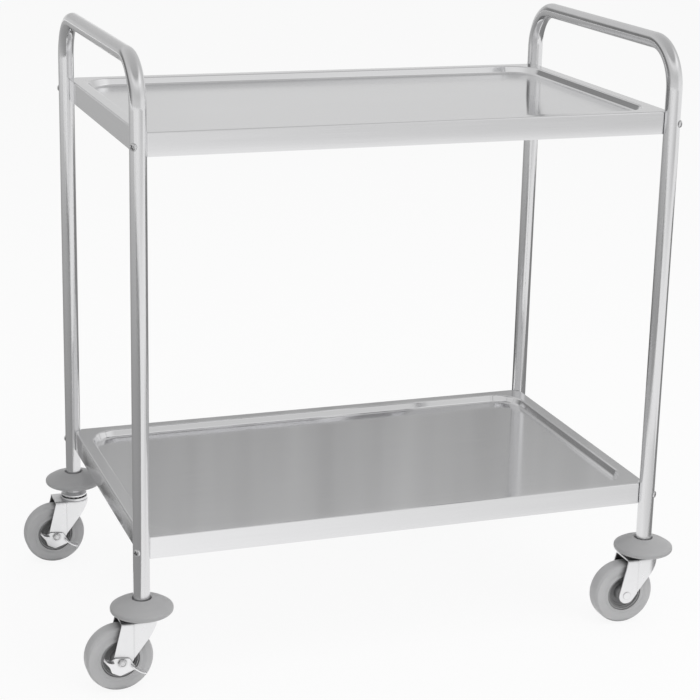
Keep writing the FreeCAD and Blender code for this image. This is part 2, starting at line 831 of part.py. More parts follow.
# Brake lever: flat plate that rocks on the axle, with a foot tab turned outwards at each end
def brake_lever(corner, x, y):
    body = new_body(f"{corner}_brake_lever", x, y, axle_height)
    body.Placement.Rotation = Rotation(Vector(0, 1, 0), 0)
    bind(body, "Placement.Rotation.Angle", s.lever_tilt)
    tip = -s.lever_left_reach
    end = s.lever_plate_reach
    drop = -s.lever_drop
    lobe = s.lever_lobe / 2
    small = s.lever_corner_radius
    plate_corners = [
        (tip, -s.lever_tip),
        (tip, -s.lever_tip * 2),
        (tip / 2, drop * 0.66, small * 2),
        (-lobe, drop, small),
        (lobe, drop, small),
        (end, -s.lever_tip),
        (end * 0.9, s.lever_top * 0.18),
        (lobe, s.lever_top, small),
        (-lobe * 1.8, s.lever_top * 0.28, small),
        (tip * 0.62, -s.lever_tip),
    ]
    plate = new_sketch(body, "Plate", "XZ_Plane", lever_inner)
    draw_outline(plate, plate_corners)
    pad(body, plate, s.lever_thickness)
    left_top = -s.lever_tip
    right_top = s.lever_top * 0.18
    left_tab = (tip, left_top, tip * 0.62, left_top)
    right_tab = (end * 0.7, right_top, s.lever_right_reach, right_top / 2)
    for near, near_top, far, far_top in (left_tab, right_tab):
        tab = new_sketch(body, "FootTab", "XZ_Plane", lever_inner)
        tab_corners = [
            (near, near_top),
            (near, near_top - s.lever_thickness),
            (far, far_top - s.lever_thickness),
            (far, far_top),
        ]
        draw_outline(tab, tab_corners)
        pad(body, tab, s.lever_tab_width)
        doc.recompute()
    hole = new_sketch(body, "AxleHole", "XZ_Plane")
    draw_circle(hole, ZERO, ZERO, axle_radius + s.shaft_gap)
    pocket(body, hole)


end_frame("left_end_frame", -1)
end_frame("right_end_frame", 1)
for tray_label, tray_height, fastener_height in zip(
    TRAYS, (upper_tray_height, lower_tray_height), bolt_heights()
):
    tray(tray_label, tray_height)
    tray_fasteners(tray_label, fastener_height)
for corner_name, corner_side_x, corner_side_y in CORNERS:
    swivel_x, swivel_y = post_place(corner_side_x, corner_side_y)
    axle_x = swivel_x - s.trail
    post_foot(corner_name, swivel_x, swivel_y)
    fork(corner_name, swivel_x, swivel_y)
    bearing_balls(corner_name, swivel_x, swivel_y)
    wheel(corner_name, axle_x, swivel_y)
    if corner_name in BRAKED_CORNERS:
        axle_bolt(corner_name, axle_x, swivel_y)
        brake_lever(corner_name, axle_x, swivel_y)
    else:
        axle_rivet(corner_name, axle_x, swivel_y)
doc.recompute()

# Every piece is whole before any is written
for piece in doc.Objects:
    if "Invalid" in piece.State or "Error" in piece.State:
        raise RuntimeError(f"{piece.Label} failed: {piece.State}")
for piece in made:
    if piece.Shape.isNull() or not piece.Shape.isValid():
        raise RuntimeError(f"{piece.Label} has no valid shape")
os.makedirs("parts", exist_ok=True)
for piece in made:
    piece.Shape.exportStep(os.path.join("parts", f"{piece.Label}.step"))
print(f"{len(made)} pieces written")
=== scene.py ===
import json
import math

import bmesh
import bpy
from mathutils import Matrix, Vector


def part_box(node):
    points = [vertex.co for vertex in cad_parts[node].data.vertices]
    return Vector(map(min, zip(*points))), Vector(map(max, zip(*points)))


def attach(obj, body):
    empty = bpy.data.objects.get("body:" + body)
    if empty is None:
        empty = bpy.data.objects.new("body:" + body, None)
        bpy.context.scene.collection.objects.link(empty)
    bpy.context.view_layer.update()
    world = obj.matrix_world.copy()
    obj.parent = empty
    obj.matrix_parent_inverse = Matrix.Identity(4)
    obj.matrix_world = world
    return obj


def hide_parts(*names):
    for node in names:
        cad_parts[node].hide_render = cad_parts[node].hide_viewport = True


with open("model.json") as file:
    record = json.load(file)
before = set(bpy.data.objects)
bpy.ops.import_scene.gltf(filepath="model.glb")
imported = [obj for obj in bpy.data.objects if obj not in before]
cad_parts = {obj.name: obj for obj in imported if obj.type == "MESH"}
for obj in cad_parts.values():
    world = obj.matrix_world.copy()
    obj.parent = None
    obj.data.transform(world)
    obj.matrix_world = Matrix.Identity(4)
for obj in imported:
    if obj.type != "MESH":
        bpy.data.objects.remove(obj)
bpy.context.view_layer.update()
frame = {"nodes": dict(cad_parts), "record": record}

MM = 0.001
TINY = 1e-7
SOFTENED_FROM = math.radians(50)
CORNERS = ("front_left", "rear_left", "front_right", "rear_right")
BRAKED = ("front_left", "rear_left")

# Sizes of the cart in metres
CART_SHIFT = 19.75 * MM
TUBE_RADIUS = 12.5 * MM
BEND_RADIUS = 68 * MM
POST_HALF = (417.5 * MM, 252.5 * MM)
HANDLE_HEIGHT = 940 * MM
FOOT_HEIGHT = 121.3 * MM
TRAY_HALF = (415.5 * MM, 250.5 * MM)
TRAY_TOPS = {"upper_tray": 840 * MM, "lower_tray": 235 * MM}
SHEET = 1.0 * MM
SKIRT_HEIGHT = 35 * MM
SKIRT_EDGE = 2.2 * MM
NOTCH_RADIUS = 12.8 * MM
NOTCH_EDGE = 3.0 * MM
FLANGE = 20 * MM
WELL_DEPTH = 12 * MM
WELL_DRAFT = 5 * MM
WELL_CORNER = 48 * MM
WELL_LIP = 3.0 * MM
WELL_FLOOR_ROUND = 5.0 * MM
BOLT_DROP = 18 * MM
CROWN_HEIGHT = 112 * MM
CROWN_REAR = 36 * MM
CROWN_FRONT = 23 * MM
CROWN_BEND = 4.0 * MM
NOSE_DROP = 6 * MM
NOSE_RADIUS = 21 * MM
CHEEK = 23 * MM
CREASE = -18 * MM
CREASE_RUN = 0.9 * MM
CREASE_STEP = 1.2 * MM
FORK_SHEET = 2.5 * MM
FORK_END = 13.5 * MM
FORK_EDGE = 0.5 * MM
TRAIL = 36 * MM
AXLE_HEIGHT = 51 * MM
LEVER_INNER = 23.3 * MM
LEVER_SHEET = 2.0 * MM
LEVER_EDGE = 0.7 * MM
LEVER_TILT = math.radians(27)
TAB_WIDTH = 12 * MM
TAB_ROUND = 4.5 * MM
TAB_SHEET = 1.8 * MM
TAB_EDGE = 0.5 * MM


def middle(node):
    low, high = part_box(node)
    return (low + high) / 2


# Mesh tools
def in_metres(rows):
    """Rows of millimetres as rows of metres."""
    return [tuple(number * MM for number in row) for row in rows]


def heading(way):
    return math.atan2(way.y, way.x)


def arc(centre, radius, start, end, steps):
    """Points round a centre from one angle to another, both ends included."""
    spots = []
    for k in range(steps + 1):
        angle = start + (end - start) * k / steps
        spots.append(centre + Vector((math.cos(angle), math.sin(angle))) * radius)
    return spots


def rounded(corners, closed=False, steps=7):
    """Points of a line through (a, b) corners, where a third number rounds that corner."""
    spots = [Vector(c[:2]) for c in corners]
    count = len(spots)
    points = []
    for i, corner in enumerate(corners):
        radius = corner[2] if len(corner) > 2 else 0
        inner = closed or 0 < i < count - 1
        if radius <= 0 or not inner:
            points.append(spots[i])
            continue
        back = (spots[i - 1] - spots[i]).normalized()
        ahead = (spots[(i + 1) % count] - spots[i]).normalized()
        half = back.angle(ahead) / 2
        centre = spots[i] + (back + ahead).normalized() * (radius / math.sin(half))
        start = spots[i] + back * (radius / math.tan(half)) - centre
        sweep = start.angle_signed(spots[i] + ahead * (radius / math.tan(half)) - centre)
        for k in range(steps + 1):
            turn = Matrix.Rotation(-sweep * k / steps, 2)
            points.append(centre + turn @ start)
    if closed:
        points.append(points[0])
    return points


def lathe(profile, steps=96):
    """Skin turned about Z from (radius, height) points."""
    verts = []
    rows = []
    for radius, height in profile:
        first = len(verts)
        if radius < TINY:
            verts.append(Vector((0, 0, height)))
            rows.append([first] * steps)
            continue
        for k in range(steps):
            angle = 2 * math.pi * k / steps
            verts.append(Vector((radius * math.cos(angle), radius * math.sin(angle), height)))
        rows.append(list(range(first, first + steps)))
    return verts, merged_corners(rows_to_faces(rows, closed=True))


def rows_to_faces(rows, closed=False):
    """Quads between rows of vertex numbers."""
    faces = []
    for one, two in zip(rows, rows[1:]):
        count = len(one)
        for k in range(count if closed else count - 1):
            n = (k + 1) % count
            faces.append([one[k], one[n], two[n], two[k]])
    return faces


def merged_corners(faces):
    """Faces that name each vertex once, so that quads at a pole become triangles."""
    return [list(dict.fromkeys(face)) for face in faces]


def moved(skin, matrix):
    verts, faces = skin
    return [matrix @ v for v in verts], faces


def joined(*skins):
    verts = []
    faces = []
    for more_verts, more_faces in skins:
        first = len(verts)
        verts.extend(more_verts)
        faces.extend([[first + i for i in face] for face in more_faces])
    return verts, faces


def to_mesh(name, skin):
    verts, faces = skin
    mesh = bpy.data.meshes.new(name)
    mesh.from_pydata([tuple(v) for v in verts], [], faces)
    work = bmesh.new()
    work.from_mesh(mesh)
    bmesh.ops.remove_doubles(work, verts=work.verts, dist=TINY)
    bmesh.ops.recalc_face_normals(work, faces=work.faces)
    work.to_mesh(mesh)
    work.free()
    return mesh


def smooth(mesh, sharp):
    """Smooth faces between the edges that bend by more than an angle in degrees."""
    mesh.shade_smooth()
    mesh.set_sharp_from_angle(angle=math.radians(sharp))


def thicken(piece, thickness, offset):
    thick = piece.modifiers.new("Sheet", "SOLIDIFY")
    thick.thickness = thickness
    thick.offset = offset


def soften(piece, width, segments):
    soft = piece.modifiers.new("SoftEdges", "BEVEL")
    soft.width = width
    soft.segments = segments
    soft.limit_method = "ANGLE"
    soft.angle_limit = SOFTENED_FROM


def even_normals(piece):
    even = piece.modifiers.new("EvenNormals", "WEIGHTED_NORMAL")
    even.keep_sharp = True


def lay_out(mesh):
    """UV in metres, by the side that each face looks to: length along U, height or depth along V."""
    layer = mesh.uv_layers.new(name="metres")
    for face in mesh.polygons:
        size = [abs(c) for c in face.normal]
        way = size.index(max(size))
        across, up = ((1, 2), (0, 2), (0, 1))[way]
        for loop in face.loop_indices:
            spot = mesh.vertices[mesh.loops[loop].vertex_index].co
            layer.data[loop].uv = (spot[across], spot[up])


def new_object(name, data):
    obj = bpy.data.objects.new(name, data)
    bpy.context.scene.collection.objects.link(obj)
    return obj


def add_piece(name, mesh, body, slot, nodes):
    obj = new_object(name, mesh)
    mesh.materials.append(MATERIALS[slot])
    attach(obj, body)
    if nodes:
        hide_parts(*nodes)
    return obj


def add_skin(name, skin, body, slot, nodes, sharp):
    """Piece from a skin, smooth between its sharp edges."""
    mesh = to_mesh(name, skin)
    piece = add_piece(name, mesh, body, slot, nodes)
    smooth(mesh, sharp)
    even_normals(piece)


# Materials
COOL_TINT = 1.01
BRUSH_STRETCH = (6, 1400, 1)
BRUSH_SHADES = (0.93, 1.05)
SHEEN_SCALE = 5.0
SHEEN_STRETCH = (1, 2.5, 1)
CLOUD_SHADES = (0.94, 1.04)
MARKS_PER_CLOUD = 14
SCUFF_SCALE = 22.0
SCUFF_SHADES = (0.9, 1.1)
RUBBER_SHINE = 0.4
# Painted shade in corners and gaps: darkest share of the colour for metal and for rubber, the occlusion
# span mapped onto it, and its samples
METAL_CORNER_SHADE = 0.2
RUBBER_CORNER_SHADE = 0.3
CORNER_SHADE_SPAN = (0.3, 0.9)
CORNER_SHADE_SAMPLES = 8


def new_material(name, metallic, roughness, colour):
    made = bpy.data.materials.new(name)
    made.use_nodes = True
    shader = made.node_tree.nodes["Principled BSDF"]
    shader.inputs["Metallic"].default_value = metallic
    shader.inputs["Roughness"].default_value = roughness
    shader.inputs["Base Color"].default_value = (*colour, 1)
    return made, shader


def noise(tree, scale, stretch=(1, 1, 1), detail=3.0, uv=False):
    """Noise over the object's own place, or over its UV."""
    spot = tree.nodes.new("ShaderNodeTexCoord")
    mapping = tree.nodes.new("ShaderNodeMapping")
    mapping.inputs["Scale"].default_value = stretch
    tree.links.new(spot.outputs["UV" if uv else "Object"], mapping.inputs["Vector"])
    grain = tree.nodes.new("ShaderNodeTexNoise")
    grain.inputs["Scale"].default_value = scale
    grain.inputs["Detail"].default_value = detail
    tree.links.new(mapping.outputs["Vector"], grain.inputs["Vector"])
    return grain.outputs["Fac"]


def spread(tree, value, low, high, start=0.3, end=0.7):
    """Number from low to high as the value goes from start to end."""
    node = tree.nodes.new("ShaderNodeMapRange")
    tree.links.new(value, node.inputs["Value"])
    node.inputs["From Min"].default_value = start
    node.inputs["From Max"].default_value = end
    node.inputs["To Min"].default_value = low
    node.inputs["To Max"].default_value = high
    return node.outputs["Result"]


def calc(tree, operation, *values):
    """Math node over sockets and plain numbers."""
    node = tree.nodes.new("ShaderNodeMath")
    node.operation = operation
    for socket, value in zip(node.inputs, values):
        if isinstance(value, bpy.types.NodeSocket):
            tree.links.new(value, socket)
        else:
            socket.default_value = value
    return node.outputs[0]


def grey(level):
    return (level, level, level * COOL_TINT)


def tint(tree, value, level, shades):
    """Grey that goes from one shade of its level to the other with a value."""
    node = tree.nodes.new("ShaderNodeMix")
    node.data_type = "RGBA"
    tree.links.new(value, node.inputs["Factor"])
    for socket, shade in zip("AB", shades):
        node.inputs[socket].default_value = (*grey(level * shade), 1)
    return node.outputs["Result"]


def bump(tree, shader, value, strength, distance):
    node = tree.nodes.new("ShaderNodeBump")
    node.inputs["Strength"].default_value = strength
    node.inputs["Distance"].default_value = distance
    tree.links.new(value, node.inputs["Height"])
    tree.links.new(node.outputs["Normal"], shader.inputs["Normal"])


def corner_shaded(tree, colour, reach, darkest):
    """Colour with painted shade that darkens it towards inner corners and gaps, where ambient occlusion
    finds little open space.
    """
    open_sky = tree.nodes.new("ShaderNodeAmbientOcclusion")
    open_sky.samples = CORNER_SHADE_SAMPLES
    open_sky.inputs["Distance"].default_value = reach
    shaded_colour = tree.nodes.new("ShaderNodeMix")
    shaded_colour.data_type = "RGBA"
    shaded_colour.blend_type = "MULTIPLY"
    shaded_colour.inputs["Factor"].default_value = 1.0
    tree.links.new(colour, shaded_colour.inputs["A"])
    tree.links.new(spread(tree, open_sky.outputs["AO"], darkest, 1.0, *CORNER_SHADE_SPAN), shaded_colour.inputs["B"])
    return shaded_colour.outputs["Result"]


def brushed_steel(name, level, rough_low, rough_high):
    """Sheet with fine grinding lines along U."""
    made, shader = new_material(name, 1.0, rough_low, grey(level))
    tree = made.node_tree
    lines = noise(tree, 1.0, BRUSH_STRETCH, detail=4.0, uv=True)
    clouds = noise(tree, SHEEN_SCALE, SHEEN_STRETCH, detail=2.0, uv=True)
    tree.links.new(tint(tree, lines, level, BRUSH_SHADES), shader.inputs["Base Color"])
    both = calc(tree, "MULTIPLY_ADD", clouds, 0.5, lines)
    tree.links.new(spread(tree, both, rough_low, rough_high, 0.5, 1.0), shader.inputs["Roughness"])
    shader.inputs["Anisotropic"].default_value = 1.0
    shader.inputs["Anisotropic Rotation"].default_value = 0.25
    tangent = tree.nodes.new("ShaderNodeTangent")
    tangent.direction_type = "UV_MAP"
    tangent.uv_map = "metres"
    tree.links.new(tangent.outputs["Tangent"], shader.inputs["Tangent"])
    bump(tree, shader, lines, strength=0.03, distance=0.1 * MM)
    return made


def bright_metal(name, level, rough_low, rough_high, scale, stretch=(1, 1, 1), shade_reach=0.0):
    """Polished or plated metal with faint clouds and marks, and painted shade in corners within its reach.
    """
    made, shader = new_material(name, 1.0, rough_low, grey(level))
    tree = made.node_tree
    clouds = noise(tree, scale, stretch, detail=4.0)
    marks = noise(tree, scale * MARKS_PER_CLOUD, stretch, detail=2.0)
    colour = tint(tree, clouds, level, CLOUD_SHADES)
    # Painted shade: the colour darkens in corners and gaps within the reach
    if shade_reach:
        colour = corner_shaded(tree, colour, shade_reach, METAL_CORNER_SHADE)
    tree.links.new(colour, shader.inputs["Base Color"])
    tree.links.new(spread(tree, clouds, rough_low, rough_high), shader.inputs["Roughness"])
    bump(tree, shader, marks, strength=0.05, distance=0.08 * MM)
    return made


def moulded(name, level, rough_low, rough_high, grain=900.0, shade_reach=0.0):
    """Rubber or plastic with a fine moulded skin, faint scuffs, and painted shade in corners within its
    reach.
    """
    made, shader = new_material(name, 0.0, rough_low, grey(level))
    tree = made.node_tree
    clouds = noise(tree, SCUFF_SCALE, detail=5.0)
    skin = noise(tree, grain, detail=2.0)
    colour = tint(tree, clouds, level, SCUFF_SHADES)
    # Painted shade: the colour darkens in corners and gaps within the reach
    if shade_reach:
        colour = corner_shaded(tree, colour, shade_reach, RUBBER_CORNER_SHADE)
    tree.links.new(colour, shader.inputs["Base Color"])
    tree.links.new(spread(tree, clouds, rough_low, rough_high), shader.inputs["Roughness"])
    shader.inputs["Specular IOR Level"].default_value = RUBBER_SHINE
    bump(tree, shader, skin, strength=0.2, distance=0.15 * MM)
    return made


# Grey level, lowest and highest roughness, then the fineness of the grain, and how far painted corner shade
# reaches
MATERIALS = {
    "polished_tube": bright_metal("polished_tube", 0.76, 0.11, 0.19, 30.0, stretch=(1, 1, 0.2)),
    "tray_sheet": brushed_steel("tray_sheet", 0.84, 0.07, 0.11),
    "fastener": bright_metal("fastener", 0.7, 0.22, 0.34, 150.0, shade_reach=3 * MM),
    "zinc_plate": bright_metal("zinc_plate", 0.88, 0.26, 0.4, 90.0, shade_reach=16 * MM),
    "lever_plate": bright_metal("lever_plate", 0.92, 0.3, 0.45, 110.0, shade_reach=5 * MM),
    "bearing_steel": bright_metal("bearing_steel", 0.7, 0.08, 0.15, 200.0),
    "bumper_rubber": moulded("bumper_rubber", 0.46, 0.28, 0.4),
    "tyre_rubber": moulded("tyre_rubber", 0.56, 0.3, 0.44, shade_reach=12 * MM),
    "hub_plastic": moulded("hub_plastic", 0.36, 0.4, 0.55, 700.0, shade_reach=12 * MM),
    "bush_plastic": moulded("bush_plastic", 0.7, 0.4, 0.5),
    "socket_plastic": moulded("socket_plastic", 0.05, 0.4, 0.5),
}


# End frames: one bent tube each
BEND_STEPS = 28
TUBE_STEPS = 64


def end_frame(side):
    x = middle(f"{side}_end_frame").x
    post_y = POST_HALF[1]
    inner = post_y - BEND_RADIUS
    bend_level = HANDLE_HEIGHT - BEND_RADIUS
    half = [(-post_y, FOOT_HEIGHT, -1.0, 0.0)]
    for k in range(BEND_STEPS + 1):
        angle = math.pi / 2 * k / BEND_STEPS
        out_y, out_z = -math.cos(angle), math.sin(angle)
        half.append((-inner + BEND_RADIUS * out_y, bend_level + BEND_RADIUS * out_z, out_y, out_z))
    path = half + [(-y, z, -out_y, out_z) for y, z, out_y, out_z in reversed(half)]
    verts = []
    rows = []
    for y, z, out_y, out_z in path:
        rows.append(list(range(len(verts), len(verts) + TUBE_STEPS)))
        for k in range(TUBE_STEPS):
            angle = 2 * math.pi * k / TUBE_STEPS
            out = Vector((math.sin(angle), out_y * math.cos(angle), out_z * math.cos(angle)))
            verts.append(Vector((x, y, z)) + out * TUBE_RADIUS)
    skin = (verts, rows_to_faces(rows, closed=True))
    add_skin(f"{side}_bent_tube", skin, "frame", "polished_tube", [f"{side}_end_frame"], sharp=38)


# Trays: every ring of points runs round the sheet with the same count, from the skirt's foot to the well
ARC_STEPS = 6
NOTCH_STEPS = 14
SIDE_STEPS = 10


def notched_ring(inset, z):
    """Outline of the sheet, hollowed round the posts and rounded where hollow and side meet."""
    bow = NOTCH_EDGE - inset
    reach = NOTCH_RADIUS + NOTCH_EDGE
    corners = []
    for turn in range(4):
        along, across = turn % 2, 1 - turn % 2
        post = Vector((POST_HALF[along], POST_HALF[across]))
        gap_along = post.x - TRAY_HALF[along] + NOTCH_EDGE
        gap_across = post.y - TRAY_HALF[across] + NOTCH_EDGE
        first = post - Vector((math.sqrt(reach ** 2 - gap_across ** 2), gap_across))
        last = post - Vector((gap_along, math.sqrt(reach ** 2 - gap_along ** 2)))
        spots = arc(first, bow, math.pi / 2, heading(post - first), ARC_STEPS)
        start = heading(first - post) % (2 * math.pi)
        end = heading(last - post) % (2 * math.pi)
        spots += arc(post, NOTCH_RADIUS + inset, start, end, NOTCH_STEPS)[1:-1]
        spots += arc(last, bow, heading(post - last), 0, ARC_STEPS)
        corners.append(turn_spots(spots, turn))
    return close_ring(corners, z)


def well_ring(inset, z):
    """Rounded rectangle inside the flange, pulled in by inset."""
    count = 2 * ARC_STEPS + NOTCH_STEPS
    margin = FLANGE + WELL_CORNER
    corners = []
    for turn in range(4):
        along, across = turn % 2, 1 - turn % 2
        centre = Vector((TRAY_HALF[along] - margin, TRAY_HALF[across] - margin))
        spots = arc(centre, WELL_CORNER - inset, math.pi / 2, 0, count)
        corners.append(turn_spots(spots, turn))
    return close_ring(corners, z)


def turn_spots(spots, turn):
    """Corner points turned to one of the four corners, going round one way."""
    return [((u, v), (v, -u), (-u, -v), (-v, u))[turn] for u, v in spots]


def close_ring(corners, z):
    """Ring through the four corners with points along the straight sides."""
    ring = []
    for i, spots in enumerate(corners):
        ring.extend(Vector((u, v, z)) for u, v in spots)
        end = Vector((*spots[-1], z))
        start = Vector((*corners[(i + 1) % 4][0], z))
        for k in range(1, SIDE_STEPS):
            ring.append(end.lerp(start, k / SIDE_STEPS))
    return ring


def tray(label):
    rings = [notched_ring(0, -SKIRT_HEIGHT), notched_ring(0, -SKIRT_HEIGHT / 2)]
    for k in range(ARC_STEPS + 1):
        angle = math.pi / 2 * k / ARC_STEPS
        rings.append(notched_ring(SKIRT_EDGE * (1 - math.cos(angle)), SKIRT_EDGE * (math.sin(angle) - 1)))
    well_line = rounded([
        (-WELL_LIP * 2, 0),
        (0, 0, WELL_LIP),
        (WELL_DRAFT, -WELL_DEPTH, WELL_FLOOR_ROUND),
        (WELL_DRAFT + WELL_FLOOR_ROUND * 2, -WELL_DEPTH),
    ])
    rings.extend(well_ring(inset, z) for inset, z in well_line)
    verts = [v + Vector((CART_SHIFT, 0, TRAY_TOPS[label])) for ring in rings for v in ring]
    count = len(rings[0])
    rows = [list(range(i * count, (i + 1) * count)) for i in range(len(rings))]
    faces = rows_to_faces(rows, closed=True)
    faces.append(rows[-1])
    mesh = to_mesh(f"{label}_sheet", (verts, faces))
    if mesh.polygons[len(faces) - 1].normal.z < 0:
        mesh.flip_normals()
    lay_out(mesh)
    piece = add_piece(f"{label}_sheet", mesh, "frame", "tray_sheet", [label])
    smooth(mesh, sharp=50)
    thicken(piece, SHEET, offset=-1)
    even_normals(piece)


# Tray bolts: pan heads with a cross recess
HEAD_RADIUS = 5.75 * MM
HEAD_HEIGHT = 3.0 * MM
HEAD_SEAT = 0.6 * MM
DOME_FALL = 0.42
RIM_START = 0.82
RIM_FALL = 0.5
CROSS_REACH = 3.0 * MM
CROSS_HALF_WIDTH = 0.84 * MM
CROSS_DEPTH = 1.3 * MM
CROSS_TURNS = (0.4, 0.9, 1.4, 1.9)
HEAD_RINGS = 22
HEAD_STEPS = 72


def bolt_head():
    """Domed head along Z with a stamped cross."""
    verts = [Vector((0, 0, HEAD_HEIGHT - CROSS_DEPTH))]
    rows = [[0] * HEAD_STEPS]
    turns = [2 * math.pi * k / HEAD_STEPS for k in range(HEAD_STEPS)]
    for r in range(1, HEAD_RINGS + 1):
        share = r / HEAD_RINGS
        rim = max(0, share - RIM_START) / (1 - RIM_START)
        dome = HEAD_HEIGHT * (1 - DOME_FALL * share ** 2 - RIM_FALL * rim ** 2)
        rows.append(list(range(len(verts), len(verts) + HEAD_STEPS)))
        for angle in turns:
            x, y = HEAD_RADIUS * share * math.cos(angle), HEAD_RADIUS * share * math.sin(angle)
            near, far = sorted((abs(x), abs(y)))
            stamped = near < CROSS_HALF_WIDTH and far < CROSS_REACH
            verts.append(Vector((x, y, dome - CROSS_DEPTH if stamped else dome)))
    rows.append(list(range(len(verts), len(verts) + HEAD_STEPS)))
    for angle in turns:
        verts.append(Vector((HEAD_RADIUS * math.cos(angle), HEAD_RADIUS * math.sin(angle), -HEAD_SEAT)))
    return verts, merged_corners(rows_to_faces(rows, closed=True))


def tray_bolts(label):
    skins = []
    for corner, cross_turn in zip(CORNERS, CROSS_TURNS):
        post = middle(f"{corner}_bumper")
        out = Vector((math.copysign(1, post.x - CART_SHIFT), math.copysign(1, post.y), 0)).normalized()
        seat = Vector((post.x, post.y, TRAY_TOPS[label] - BOLT_DROP)) + out * TUBE_RADIUS
        place = Matrix.Translation(seat) @ out.to_track_quat("Z", "Y").to_matrix().to_4x4()
        skins.append(moved(bolt_head(), place @ Matrix.Rotation(cross_turn, 4, "Z")))
    add_skin(f"{label}_bolt_heads", joined(*skins), "frame", "fastener", [f"{label}_bolts"], sharp=45)


# Turned sections in millimetres: radius, height or width, rounding
BUMPER_SECTION = (
    (12.9, 2.3),
    (23, 2.3, 0.8),
    (23, 0, 1),
    (30, 0, 2),
    (47.5, 0.6, 4.6),
    (47.4, 8.6, 4),
    (38.5, 14.2, 14),
    (26, 19.4, 30),
    (15.4, 22, 0.8),
    (14.6, 21.2, 0.5),
    (12.7, 16),
)
CUP_SECTION = (
    (7, 117.3),
    (21.5, 117.3, 1.4),
    (21.5, 121.3, 1.7),
    (7, 121.3),
)
RACEWAY_SECTION = (
    (19.5, 111.5),
    (22.9, 111.5),
    (22.5, 115.4, 1.4),
    (19.5, 115.4, 1.2),
    (19.2, 111.5),
)
TYRE_SIDE = (
    (51, 0),
    (51, 10.5, 9),
    (47.5, 14.4, 0.7),
    (40, 14.5, 12),
    (34, 13.5, 3),
    (31.6, 14.3, 1.2),
    (29, 14.1, 0.8),
    (28.5, 9),
)
HUB_SIDE = (
    (28.5, 0),
    (28.5, 12.6, 0.5),
    (26.2, 12.6, 0.7),
    (25.2, 9.4, 0.5),
    (23.9, 9.0, 0.4),
    (23.0, 6.4, 0.5),
    (20.8, 5.7, 0.4),
    (20.3, 4.4, 0.5),
    (13.8, 4.1, 1.5),
    (12.5, 17.3, 0.8),
    (6.6, 17.3),
)
NUT_COLLAR = (
    (5.3, 28.8),
    (5.2, 30.1, 0.7),
    (3.9, 30.1),
)
SCREW_SHANK = (
    (0, -23),
    (4, -23),
    (4, 29.9, 0.8),
    (0, 29.9),
)
RIVET_SIDE = (
    (4, 0),
    (4, 22.9),
    (6.5, 22.9),
    (6.1, 24.2, 0.9),
    (0, 24.4),
)


def section(rows):
    return rounded(in_metres(rows))


def both_sides(rows):
    """Section of a turned piece from the points on one side of its middle."""
    half = section(rows)
    return half + [(radius, -width) for radius, width in reversed(half)]


# Bumper: soft domed ring with a dark gap round the tube and a recess over the swivel head
def bumper(corner):
    low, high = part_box(f"{corner}_bumper")
    post = (low + high) / 2
    skin = moved(lathe(section(BUMPER_SECTION), steps=128), Matrix.Translation((post.x, post.y, low.z)))
    add_skin(f"{corner}_bumper_disc", skin, "frame", "bumper_rubber", [f"{corner}_bumper"], sharp=60)


# Swivel head above the balls, and the raceway on the fork below them
def over_post(corner):
    post = middle(f"{corner}_bumper")
    return Matrix.Translation((post.x, post.y, 0))


def swivel_head(corner):
    skin = moved(lathe(section(CUP_SECTION)), over_post(corner))
    add_skin(f"{corner}_swivel_cup", skin, "frame", "zinc_plate", [f"{corner}_swivel_head"], sharp=50)


def raceway(corner):
    skin = moved(lathe(section(RACEWAY_SECTION)), over_post(corner))
    add_skin(f"{corner}_raceway", skin, f"{corner}_swivel", "zinc_plate", [], sharp=50)


# Fork: stamped channel whose walls follow a rounded nose and taper to the axle
REAR_COLUMNS = 8
FRONT_COLUMNS = 4
NOSE_COLUMNS = 14
CROWN_STEPS = 4
WALL_ROWS = 8


def nose_line():
    """Plan of one cheek from its rear past the crease to the middle of the nose, with outward normals."""
    turn_x = CROWN_FRONT - NOSE_RADIUS
    front_x = CREASE + CREASE_RUN
    beside = Vector((0, -1))
    points = []
    for k in range(REAR_COLUMNS + 2):
        x = -CROWN_REAR + (CREASE + CROWN_REAR) * k / (REAR_COLUMNS + 1)
        points.append((Vector((x, -CHEEK)), beside))
    for k in range(FRONT_COLUMNS):
        x = front_x + (turn_x - front_x) * k / FRONT_COLUMNS
        points.append((Vector((x, CREASE_STEP - CHEEK)), beside))
    for k in range(NOSE_COLUMNS + 1):
        angle = math.pi / 2 * (k / NOSE_COLUMNS - 1)
        out = Vector((math.cos(angle), math.sin(angle)))
        reach = NOSE_RADIUS - CREASE_STEP * (1 - k / NOSE_COLUMNS)
        points.append((Vector((turn_x, NOSE_RADIUS - CHEEK)) + out * reach, out))
    return points


def cheek_edge(count):
    """Lower edge of one cheek as (x, z) round the axle's end, and the point where the front edge ends."""
    centre = Vector((-TRAIL, AXLE_HEIGHT))
    rear_top = Vector((-CROWN_REAR, CROWN_HEIGHT))
    front_top = Vector((CROWN_FRONT, CROWN_HEIGHT - NOSE_DROP))
    leans = []
    for spot, turn in ((rear_top, 1), (front_top, -1)):
        toward = spot - centre
        leans.append((heading(toward) + turn * math.acos(FORK_END / toward.length)) % (2 * math.pi))
    return arc(centre, FORK_END, *leans, count - 1), front_top


